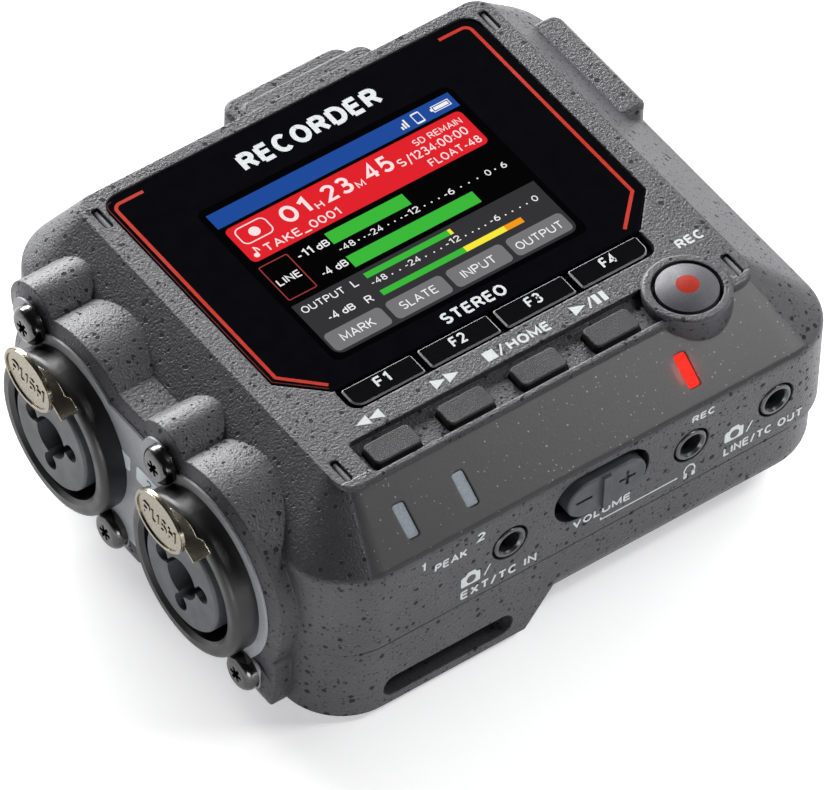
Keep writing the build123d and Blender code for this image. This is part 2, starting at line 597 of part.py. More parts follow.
def battery_contacts():
    """Sprung and plain contact plates at the two ends of the battery bay."""
    inner = {-1: tray_x0 + tray_t + 0.05, 1: tray_x1 - tray_t - 0.05}
    cell_end = {side: cell_x + side * (cell_len / 2 + 0.05) for side in (-1, 1)}
    parts = Part()
    for i, y in enumerate(row_x(0, cell_pitch)):
        for side in (-1, 1):
            x = inner[side]
            parts += Pos(x - side * 0.25, y, cell_z) * Box(0.5, 9, 10)
            sprung = (side == -1) == (i % 2 == 0)
            lo, hi = sorted((x - side * 0.4, cell_end[side]))
            post = rod_x(lo, hi, y, cell_z, 3.4 if sprung else 1.8)
            parts += post - rod_x(lo - 1, hi + 1, y, cell_z, 2.6) if sprung else post
    return parts


def battery_door():
    left = door_x0 + 0.15
    door = slab(left, pod_right - 0.1, -door_y + 0.2, door_y - 0.2, base_z + 0.05, base_z + door_t - 0.15)
    door += slab(left, pod_right - 0.6, -door_y - 0.4, door_y + 0.4, base_z + 0.5, base_z + 0.9)
    for k in range(5):
        door -= Pos(24 + 2.2 * k, 0, base_z) * Box(0.9, 18, 0.9)
    return door


# ================================================================ underside
def tripod_insert():
    body = rod_z(base_z, base_z + tripod_depth + 0.5, *tripod_place, tripod_r)
    return body - rod_z(0, base_z + tripod_depth, *tripod_place, tripod_bore_r)


def rubber_feet():
    places = [(-38.5, -28, -30.8, -28.2), (-38.5, -28, 28.2, 30.8), (18, 33, -31.1, -29.5), (18, 33, 29.9, 31.9)]
    return Part() + [slab(x0, x1, y0, y1, 0, base_z, 0.7) for x0, x1, y0, y1 in places]


def case_screws():
    screws = Part()
    for (x, y), seat in zip(post_places, post_seats):
        head = rod_z(seat - 1.5, seat - 0.02, x, y, 1.95)
        for turn in (0, 90):
            head -= Pos(x, y, seat - 1.5) * Rot(0, 0, turn) * Box(2.2, 0.5, 1.4)
        screws += head + rod_z(seat - 0.1, 21.5, x, y, 0.9)
    return screws


# ================================================================ the whole recorder
pieces = {
    "upper_case": upper_case(),
    "lower_case": lower_case(),
    "display_window": display_window(),
    "lcd_module": lcd_module(),
    "lcd_flex": lcd_flex(),
    "function_key_frame": function_key_frame(),
    "record_button": record_button(),
    "record_mark": record_mark(),
    "key_mat": key_mat(),
    "key_board": key_board(),
    "main_board": main_board(),
    "preamp_board": preamp_board(),
    "volume_rocker": volume_rocker(),
    "rocker_bracket": rocker_bracket(),
    "rocker_switches": rocker_switches(),
    "peak_light_guides": peak_light_guides(),
    "record_light_guide": light_guide(record_light_x),
    "corner_pins": corner_pins(),
    "connector_plate": connector_plate(),
    "connector_screws": connector_screws(),
    "power_slider": power_slider(),
    "usb_socket": usb_socket(),
    "card_socket": card_socket(),
    "card_cover": card_cover(),
    "battery_tray": battery_tray(),
    "battery_contacts": battery_contacts(),
    "battery_door": battery_door(),
    "tripod_insert": tripod_insert(),
    "rubber_feet": rubber_feet(),
    "case_screws": case_screws(),
}
for i in range(4):
    pieces[f"function_key_{i + 1}"] = function_key(i)
    pieces[tkey_names[i]] = transport_key(i)
    pieces[f"battery_cell_{i + 1}"] = battery_cell(i)
for name, x in jack_x.items():
    pieces[name] = jack(x)
for i, y in enumerate(conn_y, start=1):
    pieces[f"connector_shell_{i}"] = connector_shell(y)
    pieces[f"connector_insert_{i}"] = connector_insert(y)
    pieces[f"connector_contacts_{i}"] = connector_contacts(y)
    pieces[f"release_latch_{i}"] = release_latch(y)

boxes = [piece.bounding_box() for piece in pieces.values()]
origin = [(min(tuple(b.min)[k] for b in boxes) + max(tuple(b.max)[k] for b in boxes)) / 2 for k in (0, 1)]
print("origin of the recorder, from the middle of the case:", [round(v, 4) for v in origin])

os.makedirs("parts", exist_ok=True)
for name, piece in pieces.items():
    export_step(Pos(-origin[0], -origin[1], 0) * piece, f"parts/{name}.step")
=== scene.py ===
import bpy, math
from mathutils import Matrix, Vector


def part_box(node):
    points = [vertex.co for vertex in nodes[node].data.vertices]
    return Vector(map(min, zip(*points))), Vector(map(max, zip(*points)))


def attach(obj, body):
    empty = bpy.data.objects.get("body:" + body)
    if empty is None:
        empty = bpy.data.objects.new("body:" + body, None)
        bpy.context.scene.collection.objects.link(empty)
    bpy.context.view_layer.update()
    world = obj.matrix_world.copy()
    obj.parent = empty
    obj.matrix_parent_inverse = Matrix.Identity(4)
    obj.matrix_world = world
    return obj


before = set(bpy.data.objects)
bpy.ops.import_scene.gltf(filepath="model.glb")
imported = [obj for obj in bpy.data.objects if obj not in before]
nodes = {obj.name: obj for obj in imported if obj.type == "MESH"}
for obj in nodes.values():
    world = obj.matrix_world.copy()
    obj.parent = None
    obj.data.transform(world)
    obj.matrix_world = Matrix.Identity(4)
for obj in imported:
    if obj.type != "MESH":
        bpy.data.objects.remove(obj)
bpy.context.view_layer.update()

mm = 0.001

# places below are in millimetres from the middle of the case, as the part is drawn
windowLow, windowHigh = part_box("display_window")
windowMiddle = (windowLow + windowHigh) / 2
windowAhead = 9.0  # the window's middle lies this far behind the middle of the case
caseMiddle = Vector((windowMiddle.x, windowMiddle.y - windowAhead * mm, 0))
caseTop, caseFront = 36.2, -39.0


def place(x, y, z):
    return caseMiddle + Vector((x, y, z)) * mm


# lowest and highest corners of a node, in millimetres from the middle of the case
def low(node):
    return (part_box(node)[0] - caseMiddle) / mm


def high(node):
    return (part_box(node)[1] - caseMiddle) / mm


# camera: where it stands from the middle of the window's top, and which way its own axes point
cameraView = dict(offset=(-587.45, -755.04, 1040.15), focal=452.1,
                  right=(0.80642, -0.59056, 0.03050), up=(0.42579, 0.61567, 0.66306))
camera = bpy.data.objects.new("camera", bpy.data.cameras.new("camera"))
bpy.context.scene.collection.objects.link(camera)
camera.data.sensor_width = 36
camera.data.lens = cameraView["focal"]
camera.data.clip_start, camera.data.clip_end = 0.05, 20
xAxis = Vector(cameraView["right"]).normalized()
yAxis = Vector(cameraView["up"])
yAxis = (yAxis - xAxis * yAxis.dot(xAxis)).normalized()
zAxis = xAxis.cross(yAxis)
windowTop = Vector((windowMiddle.x, windowMiddle.y, windowHigh.z))
camera.matrix_world = Matrix.Translation(windowTop + Vector(cameraView["offset"]) * mm) \
    @ Matrix((xAxis, yAxis, zAxis)).transposed().to_4x4()
bpy.context.scene.camera = camera
bpy.context.scene.view_settings.view_transform = "Standard"
print("camera placed")


# materials
def linear(hexColour):
    parts = [int(hexColour[i:i + 2], 16) / 255 for i in (1, 3, 5)]
    return [c / 12.92 if c <= 0.04045 else ((c + 0.055) / 1.055) ** 2.4 for c in parts] + [1.0]


# inputs go by name or number, or as a list in the node's own order; each is a number, a vector,
# a hex colour, an output, or a node that stands for its first output in use
def addNode(tree, kind, inputs=(), **settings):
    node = tree.nodes.new("ShaderNode" + kind)
    for name, value in settings.items():
        setattr(node, name, value)
    for key, value in inputs.items() if isinstance(inputs, dict) else enumerate(inputs):
        if isinstance(value, bpy.types.Node):
            value = next(output for output in value.outputs if output.enabled)
        if isinstance(value, bpy.types.NodeSocket):
            tree.links.new(value, node.inputs[key])
        else:
            node.inputs[key].default_value = linear(value) if isinstance(value, str) else value
    return node


def newMaterial(name):
    material = bpy.data.materials.new(name)
    material.use_nodes = True
    tree = material.node_tree
    tree.nodes.clear()
    return material, tree


# every material ends here: the shader with its inputs, and the output
def finishMaterial(tree, inputs):
    addNode(tree, "OutputMaterial", {"Surface": addNode(tree, "BsdfPrincipled", inputs)})


# texture scale that gives features of this size
def perMetre(sizeMm):
    return 1000.0 / sizeMm


# scattered specks: some cells hold one, each of its own size with a ragged outline; 1 inside a speck
def specks(tree, point, cellMm, smallest, largest, share):
    warp = addNode(tree, "TexNoise", {"Vector": point, "Scale": perMetre(cellMm * 0.35), "Detail": 2.0})
    ragged = addNode(tree, "VectorMath", [warp.outputs["Color"], (cellMm * 0.28 * mm,) * 3, point],
                     operation="MULTIPLY_ADD")
    cells = addNode(tree, "TexVoronoi", {"Vector": ragged, "Scale": perMetre(cellMm), "Randomness": 1.0})
    dice = addNode(tree, "SeparateColor", [cells.outputs["Color"]]).outputs[0]
    radius = addNode(tree, "MapRange", [dice, 1.0 - share, 1.0, smallest / cellMm, largest / cellMm])
    present = addNode(tree, "Math", [dice, 1.0 - share], operation="GREATER_THAN")
    edge = addNode(tree, "Math", [radius, cells.outputs["Distance"]], operation="SUBTRACT")
    inside = addNode(tree, "MapRange", [edge, -0.02, 0.05], interpolation_type="SMOOTHSTEP")
    return addNode(tree, "Math", [inside, present], operation="MULTIPLY")


# the pit colour is painted shade inside the dents; the two pale speck colours are painted highlights, glints
# of light
shellLook = dict(
    face="#3b3b3f", dark="#2a2a2e", pit="#070708", glintTone="#8f8f95",
    facet="#2b2b2c", facetGlintTone="#838385", roughness=0.42, pitRoughness=0.85,
    grainMm=0.38, cloudMm=9.0, finePitMm=0.62, pitMm=1.35, sparkleMm=0.7, edgeMm=0.32,
    shoulder=(0, caseFront, 28.2), facetNormal=(0, -8.0, 11.2), facetRear=-28.0)


# 1 on the sloping panel that joins the top to the front, 0 elsewhere
def onSlopingPanel(tree, point, look):
    offset = addNode(tree, "VectorMath", [point, place(*look["shoulder"])], operation="SUBTRACT")
    normal = Vector(look["facetNormal"]).normalized()
    height = addNode(tree, "VectorMath", [offset, normal], operation="DOT_PRODUCT")
    away = addNode(tree, "Math", [height], operation="ABSOLUTE")
    near = addNode(tree, "MapRange", [away, 0.10 * mm, 0.22 * mm, 1.0, 0.0], interpolation_type="SMOOTHSTEP")
    depth = addNode(tree, "SeparateXYZ", [point]).outputs[1]
    ahead = addNode(tree, "Math", [depth, place(0, look["facetRear"], 0).y], operation="LESS_THAN")
    return addNode(tree, "Math", [near, ahead], operation="MULTIPLY")


# polycarbonate blend from a spark-eroded mould: matt grey with a fine grain and real dents; the dents are
# painted near black as shade inside them, and pale specks are painted beside them as glints of light
def mouldedShell(name, pits=1.0, facet=True, look=shellLook):
    material, tree = newMaterial(name)
    point = addNode(tree, "TexCoord").outputs["Object"]
    grain = addNode(tree, "TexNoise", {"Vector": point, "Scale": perMetre(look["grainMm"]),
                                       "Detail": 3.0, "Roughness": 0.6})
    cloud = addNode(tree, "TexNoise", {"Vector": point, "Scale": perMetre(look["cloudMm"]), "Detail": 2.0})
    fine = specks(tree, point, look["finePitMm"], 0.04, 0.20, 0.9 * pits)
    large = specks(tree, point, look["pitMm"], 0.08, 0.42, 0.85 * pits)
    fine = addNode(tree, "Math", [fine, 0.8], operation="MULTIPLY")
    pit = addNode(tree, "Math", [fine, large], operation="MAXIMUM")
    relief = grain
    tone = addNode(tree, "Mix", {0: grain, 6: look["dark"], 7: look["face"]}, data_type="RGBA")
    cloudy = addNode(tree, "MapRange", [cloud, 0.35, 0.75], interpolation_type="SMOOTHSTEP")
    tone = addNode(tree, "Mix", {0: cloudy, 6: tone, 7: look["face"]}, data_type="RGBA")
    if facet:
        # the sloping panel is smoother, with fine pale specks painted as glints of light and no pits
        onPanel = onSlopingPanel(tree, point, look)
        sparkle = specks(tree, point, look["sparkleMm"], 0.04, 0.13, 0.7)
        half = addNode(tree, "Math", [grain, 0.5], operation="MULTIPLY")
        panelTone = addNode(tree, "Mix", {0: half, 6: look["facet"], 7: look["face"]}, data_type="RGBA")
        panelTone = addNode(tree, "Mix", {0: sparkle, 6: panelTone, 7: look["facetGlintTone"]}, data_type="RGBA")
        tone = addNode(tree, "Mix", {0: onPanel, 6: tone, 7: panelTone}, data_type="RGBA")
        clear = addNode(tree, "Math", [1.0, onPanel], operation="SUBTRACT")
        pit = addNode(tree, "Math", [pit, clear], operation="MULTIPLY")
        flatter = addNode(tree, "MapRange", [onPanel, 0.0, 1.0, 1.0, 0.12])
        relief = addNode(tree, "Math", [grain, flatter], operation="MULTIPLY")
    # painted highlights: pale glints scattered over the shell
    glint = specks(tree, point, look["sparkleMm"], 0.03, 0.09, 0.6)
    glint = addNode(tree, "Math", [glint, 0.6], operation="MULTIPLY")
    tone = addNode(tree, "Mix", {0: glint, 6: tone, 7: look["glintTone"]}, data_type="RGBA")
    # painted shade: the pits take a near-black colour for the shade inside each dent
    pitPaintedShade = addNode(tree, "Math", [pit, 0.95], operation="MULTIPLY")
    tone = addNode(tree, "Mix", {0: pitPaintedShade, 6: tone, 7: look["pit"]}, data_type="RGBA")
    roughness = addNode(tree, "MapRange", [pit, 0.0, 1.0, look["roughness"], look["pitRoughness"]])

    rounded = addNode(tree, "Bevel", {"Radius": look["edgeMm"] * mm}, samples=5)
    raised = addNode(tree, "Math", [relief, 0.17], operation="MULTIPLY")
    sunk = addNode(tree, "Math", [pit, 0.22], operation="MULTIPLY")
    height = addNode(tree, "Math", [raised, sunk], operation="SUBTRACT")
    bump = addNode(tree, "Bump", {"Strength": 0.8, "Distance": mm, "Height": height, "Normal": rounded})
    finishMaterial(tree, {"Base Color": tone, "Roughness": roughness, "Normal": bump})
    return material


# a fine-grained finish: two tones over a small grain, roughness that drifts and a light bump
def satin(name, tones, grainMm, roughness, bump=0.15, bumpMm=0.08, edgeMm=0.0, spread=0.12, shader=None):
    material, tree = newMaterial(name)
    point = addNode(tree, "TexCoord").outputs["Object"]
    grain = addNode(tree, "TexNoise", {"Vector": point, "Scale": perMetre(grainMm),
                                       "Detail": 3.0, "Roughness": 0.6})
    drift = addNode(tree, "TexNoise", {"Vector": point, "Scale": perMetre(grainMm * 14), "Detail": 2.0})
    share = addNode(tree, "MapRange", [grain, 0.3, 0.7], interpolation_type="SMOOTHSTEP")
    tone = addNode(tree, "Mix", {0: share, 6: tones[0], 7: tones[1]}, data_type="RGBA")
    smoothest = max(0.02, roughness - spread / 2)
    rough = addNode(tree, "MapRange", [drift, 0.3, 0.7, smoothest, roughness + spread / 2],
                    interpolation_type="SMOOTHSTEP")
    relief = addNode(tree, "Bump", {"Strength": bump, "Distance": bumpMm * mm, "Height": grain})
    if edgeMm:
        rounded = addNode(tree, "Bevel", {"Radius": edgeMm * mm}, samples=4)
        tree.links.new(rounded.outputs[0], relief.inputs["Normal"])
    finishMaterial(tree, {"Base Color": tone, "Roughness": rough, "Normal": relief, **(shader or {})})
    return material


litSurface = {"Base Color": "#020202", "Roughness": 0.08, "Specular IOR Level": 0.08}


# backlit colour filter of a liquid crystal panel: an even glow with no grain
def backlit(name, colour):
    material, tree = newMaterial(name)
    finishMaterial(tree, {**litSurface, "Emission Color": colour, "Emission Strength": 1.0})
    return material


# moulded red lens with a lamp behind it: a bright glow, faintly uneven
def redLens(name, tones):
    material, tree = newMaterial(name)
    point = addNode(tree, "TexCoord").outputs["Object"]
    film = addNode(tree, "TexNoise", {"Vector": point, "Scale": perMetre(0.25), "Detail": 1.0})
    share = addNode(tree, "MapRange", [film, 0.2, 0.8], interpolation_type="SMOOTHSTEP")
    glow = addNode(tree, "Mix", {0: share, 6: tones[0], 7: tones[1]}, data_type="RGBA")
    finishMaterial(tree, {**litSurface, "Emission Color": glow, "Emission Strength": 1.1})
    return material


# black acrylic with a polished chamfer, painted pale round each key as a painted highlight, paler on the
# sides that face the rear light
def polishedAcrylicKey(name):
    material, tree = newMaterial(name)
    point = addNode(tree, "TexCoord").outputs["Object"]
    facing = addNode(tree, "SeparateXYZ", [addNode(tree, "NewGeometry").outputs["True Normal"]])
    steeper = addNode(tree, "MapRange", [facing.outputs[2], 0.4, 0.5], interpolation_type="SMOOTHSTEP")
    flatter = addNode(tree, "MapRange", [facing.outputs[2], 0.9, 0.97, 1.0, 0.0],
                      interpolation_type="SMOOTHSTEP")
    chamfer = addNode(tree, "Math", [steeper, flatter], operation="MULTIPLY")
    # painted highlight: the chamfer's pale tone grows towards the rear, the lit side
    litTowardsRear = addNode(tree, "Math", [facing.outputs[1], 0.55, 0.62], operation="MULTIPLY_ADD")
    chamferPaintedHighlight = addNode(tree, "Mix", {0: litTowardsRear, 6: "#56565a", 7: "#d2d2d4"}, data_type="RGBA")
    tone = addNode(tree, "Mix", {0: chamfer, 6: "#08080a", 7: chamferPaintedHighlight}, data_type="RGBA")
    haze = addNode(tree, "TexNoise", {"Vector": point, "Scale": perMetre(1.2), "Detail": 2.0})
    rough = addNode(tree, "MapRange", [haze, 0.3, 0.7, 0.15, 0.17], interpolation_type="SMOOTHSTEP")
    finishMaterial(tree, {"Base Color": tone, "Roughness": rough, "Specular IOR Level": 0.22})
    return material


metal = {"Metallic": 1.0}
lacquer = {"Coat Roughness": 0.12}
materials = dict(
    # moulded polycarbonate: matt dark grey, coarse enough to sparkle, with the sparkle painted as pale
    # glints
    shell=mouldedShell("erodedPolycarbonateShell"),
    shellPlain=mouldedShell("erodedPolycarbonateCover", pits=0.7, facet=False),
    # cast acrylic with a black print behind it: nearly mirror smooth and coated against reflections
    window=satin("castAcrylicWindow", ("#07070a", "#09090c"), 3.0, 0.08, bump=0.0, spread=0.04,
                 shader={"Specular IOR Level": 0.08}),
    glossKey=polishedAcrylicKey("polishedAcrylicKey"),
    # polycarbonate keycaps from a photo-etched mould: dark and dull, with a fine even grain
    keycap=satin("etchedPolycarbonateKeycap", ("#1f1f21", "#2c2c2f"), 0.16, 0.5, bump=0.8, bumpMm=0.12,
                 edgeMm=0.12, shader={"Specular IOR Level": 0.28}),
    rocker=satin("etchedPolycarbonateRocker", ("#2f3135", "#393c40"), 0.16, 0.5, bump=0.5, edgeMm=0.15),
    # satin lacquer sprayed on a moulded cap: a soft sheen over a fine grain
    recordCap=satin("satinLacqueredCap", ("#3e3e43", "#4b4b50"), 0.14, 0.42, bump=0.7,
                    shader={"Specular IOR Level": 0.4}),
    recordMark=satin("printedRedDot", ("#8c1c09", "#9c230c"), 0.3, 0.5, bump=0.2,  # flat dull red
                     shader={"Specular IOR Level": 0.15}),
    # nylon from a smooth mould: a plain pale satin panel
    panel=satin("smoothNylonPanel", ("#919296", "#9c9da1"), 0.35, 0.42, bump=0.12, edgeMm=0.15),
    # glass-filled nylon, moulded: near black, with the slight sheen of the glass
    connector=satin("glassFilledNylonShell", ("#0d0d0f", "#151518"), 0.20, 0.38, bump=0.3),
    insert=satin("glassFilledNylonInsert", ("#3c3d41", "#494a4e"), 0.22, 0.5, bump=0.3),
    # spring steel, nickel plated and polished: a warm white metal
    nickel=satin("nickelPlatedSpringSteel", ("#7f796c", "#979081"), 0.30, 0.22, bump=0.10, edgeMm=0.10,
                 shader=metal),
    # turned steel, polished, given its pale colour with the metal only partly metallic so that it shows as
    # painted highlights: small bright points in the corner slots
    pin=satin("steelPinPaintedHighlight", ("#c4c4c6", "#d6d6d8"), 0.3, 0.2, bump=0.05, edgeMm=0.1,
              shader={"Metallic": 0.6}),
    # steel screws plated in black chrome: dark metal with sharp highlights
    screw=satin("blackChromedSteelScrew", ("#4f4f50", "#626261"), 0.25, 0.20, bump=0.06, edgeMm=0.12,
                shader=metal),
    # moulded nylon, glossy enough for a bright rim
    jack=satin("mouldedNylonJack", ("#1d1e20", "#27282b"), 0.20, 0.3, bump=0.2, edgeMm=0.15,
               shader={"Specular IOR Level": 0.9}),
    # turned brass, gold plated: warm yellow metal
    brass=satin("goldPlatedBrass", ("#c09a4a", "#d2ad5c"), 0.25, 0.25, bump=0.08, shader=metal),
    # frosted polycarbonate light guide: a milky blue grey when unlit
    lightPipe=satin("frostedPolycarbonateGuide", ("#7c858d", "#8d969e"), 0.3, 0.4, bump=0.1, edgeMm=0.08),
    recordLight=redLens("mouldedRedLens", ("#f8281e", "#ff3c30")),
    # compression-moulded silicone: black and dull
    rubber=satin("mouldedSiliconeRubber", ("#161617", "#1f1f20"), 0.3, 0.75, bump=0.3),
    # smooth black polycarbonate: hidden frames and brackets
    dark=satin("smoothPolycarbonateBracket", ("#0c0c0d", "#121213"), 0.3, 0.5, bump=0.15),
    # printed solder mask on a circuit board: deep green under a thin gloss
    board=satin("printedSolderMask", ("#10442a", "#165233"), 0.6, 0.35, bump=0.1,
                shader={**lacquer, "Coat Weight": 0.4}),
    # rolled polyimide film: clear amber brown
    film=satin("rolledPolyimideFilm", ("#8a4f12", "#a3631c"), 0.8, 0.3, bump=0.1),
    # shrunk printed sleeve round each battery: dark blue gloss
    wrap=satin("shrunkBatterySleeve", ("#1c2f52", "#223a64"), 1.5, 0.3, bump=0.05,
               shader={**lacquer, "Coat Weight": 0.6}),
    # pad-printed inks: flat and matt, a little uneven
    ink=satin("whitePadPrintedInk", ("#b4b9b9", "#c4c9c9"), 0.25, 0.55, bump=0.1),
    inkDark=satin("greyPadPrintedInk", ("#3f474d", "#4a5258"), 0.25, 0.55, bump=0.1),
    # die-cut matt label film: pale and smooth
    sticker=satin("cutLabelFilm", ("#d3dce1", "#dbe3e8"), 0.4, 0.5, bump=0.08),
    # red screen print seen through the acrylic: deep and even, dimmer on the outer edge
    accent=satin("redScreenPrint", ("#a52a1d", "#b03022"), 1.5, 0.3, bump=0.0,
                 shader={"Specular IOR Level": 0.2}),
    accentDim=satin("redScreenPrintEdge", ("#4a110d", "#561511"), 1.5, 0.3, bump=0.0,
                    shader={"Specular IOR Level": 0.2}),
)

# which material each CAD node takes, by its name or by how its name starts
nodeLook = dict(
    upper_case="shell", lower_case="shell", battery_door="shellPlain", card_cover="shellPlain",
    power_slider="rocker", display_window="window", record_button="recordCap", record_mark="recordMark",
    volume_rocker="rocker", connector_plate="panel", peak_light_guides="lightPipe",
    record_light_guide="recordLight", corner_pins="pin", usb_socket="nickel", card_socket="nickel",
    connector_screws="screw", case_screws="screw", tripod_insert="brass", battery_contacts="nickel",
    key_mat="rubber", rubber_feet="rubber", key_board="board", main_board="board", preamp_board="board",
    lcd_flex="film", lcd_module="dark", function_key_frame="dark", battery_tray="dark",
    rocker_bracket="dark", rocker_switches="dark", rewind_key="keycap", forward_key="keycap",
    stop_key="keycap", play_key="keycap", camera_in_jack="jack", headphone_jack="jack",
    line_out_jack="jack")
repeatedLook = dict(function_key_="glossKey", connector_shell_="connector", connector_insert_="insert",
                    connector_contacts_="brass", release_latch_="nickel", battery_cell_="wrap")
for name, thing in nodes.items():
    look = nodeLook.get(name) or next(look for start, look in repeatedLook.items() if name.startswith(start))
    thing.data.materials.clear()
    thing.data.materials.append(materials[look])
print("materials on", len(nodes), "pieces")


# thin printed and lit pieces: flat solids gathered into one
class Batch:
    def __init__(self):
        self.points, self.faces = [], []

    def add(self, points, faces):
        start = len(self.points)
        self.points += points
        self.faces += [[start + i for i in face] for face in faces]


def onTop(height):
    return lambda x, y, z: (x, y, height + z)


def onFront(depth):
    return lambda x, y, z: (x, depth - z, y)


# on the left side a drawing's x runs towards the front of the case
def onLeft(face):
    return lambda x, y, z: (face - z, -x, y)


inkThick = 0.006


# closed flat solid from an outline that runs anticlockwise
def slabOf(batch, outline, where, thick=inkThick):
    count = len(outline)
    points = [where(x, y, 0.0) for x, y in outline] + [where(x, y, thick) for x, y in outline]
    sides = [(i, (i + 1) % count, count + (i + 1) % count, count + i) for i in range(count)]
    batch.add(points, [tuple(reversed(range(count))), tuple(range(count, 2 * count))] + sides)


# flat band between two outlines with the same number of points
def bandOf(batch, outer, inner, where, thick=inkThick, closed=True):
    count = len(outer)
    points = [where(x, y, z) for z in (0.0, thick) for ring in (outer, inner) for x, y in ring]
    faces = []
    for i in range(count if closed else count - 1):
        j = (i + 1) % count
        faces += [(i, count + i, count + j, j), (2 * count + i, 2 * count + j, 3 * count + j, 3 * count + i),
                  (i, j, 2 * count + j, 2 * count + i), (count + j, count + i, 3 * count + i, 3 * count + j)]
    if not closed:
        last = count - 1
        faces += [(0, 2 * count, 3 * count, count), (last, count + last, 3 * count + last, 2 * count + last)]
    batch.add(points, faces)


def plainBox(x0, y0, x1, y1):
    return [(x0, y0), (x1, y0), (x1, y1), (x0, y1)]


def roundBox(x0, y0, x1, y1, radius, steps=6):
    points = []
    corners = ((x1 - radius, y0 + radius, -90), (x1 - radius, y1 - radius, 0),
               (x0 + radius, y1 - radius, 90), (x0 + radius, y0 + radius, 180))
    for cx, cy, start in corners:
        for i in range(steps + 1):
            angle = math.radians(start + 90 * i / steps)
            points.append((cx + radius * math.cos(angle), cy + radius * math.sin(angle)))
    return points


# points along part of an ellipse, in degrees
def arc(cx, cy, rx, ry, start, end, steps=8):
    angles = [math.radians(start + (end - start) * i / steps) for i in range(steps + 1)]
    return [(cx + rx * math.cos(angle), cy + ry * math.sin(angle)) for angle in angles]


def disc(cx, cy, radius, steps=24):
    return arc(cx, cy, radius, radius, 0, 360, steps)[:-1]


# flat line of even width along an open path, with mitred corners
def strokeOf(batch, path, width, where, thick=inkThick):
    left, right = [], []
    for i, (x, y) in enumerate(path):
        before = path[max(i - 1, 0)]
        after = path[min(i + 1, len(path) - 1)]
        into = Vector((x - before[0], y - before[1]))
        out = Vector((after[0] - x, after[1] - y))
        into = into.normalized() if into.length else out.normalized()
        out = out.normalized() if out.length else into
        along = (into + out).normalized()
        half = width / 2 / max(along.dot(into), 0.5)
        left.append((x - along.y * half, y + along.x * half))
        right.append((x + along.y * half, y - along.x * half))
    bandOf(batch, right, left, where, thick, closed=False)


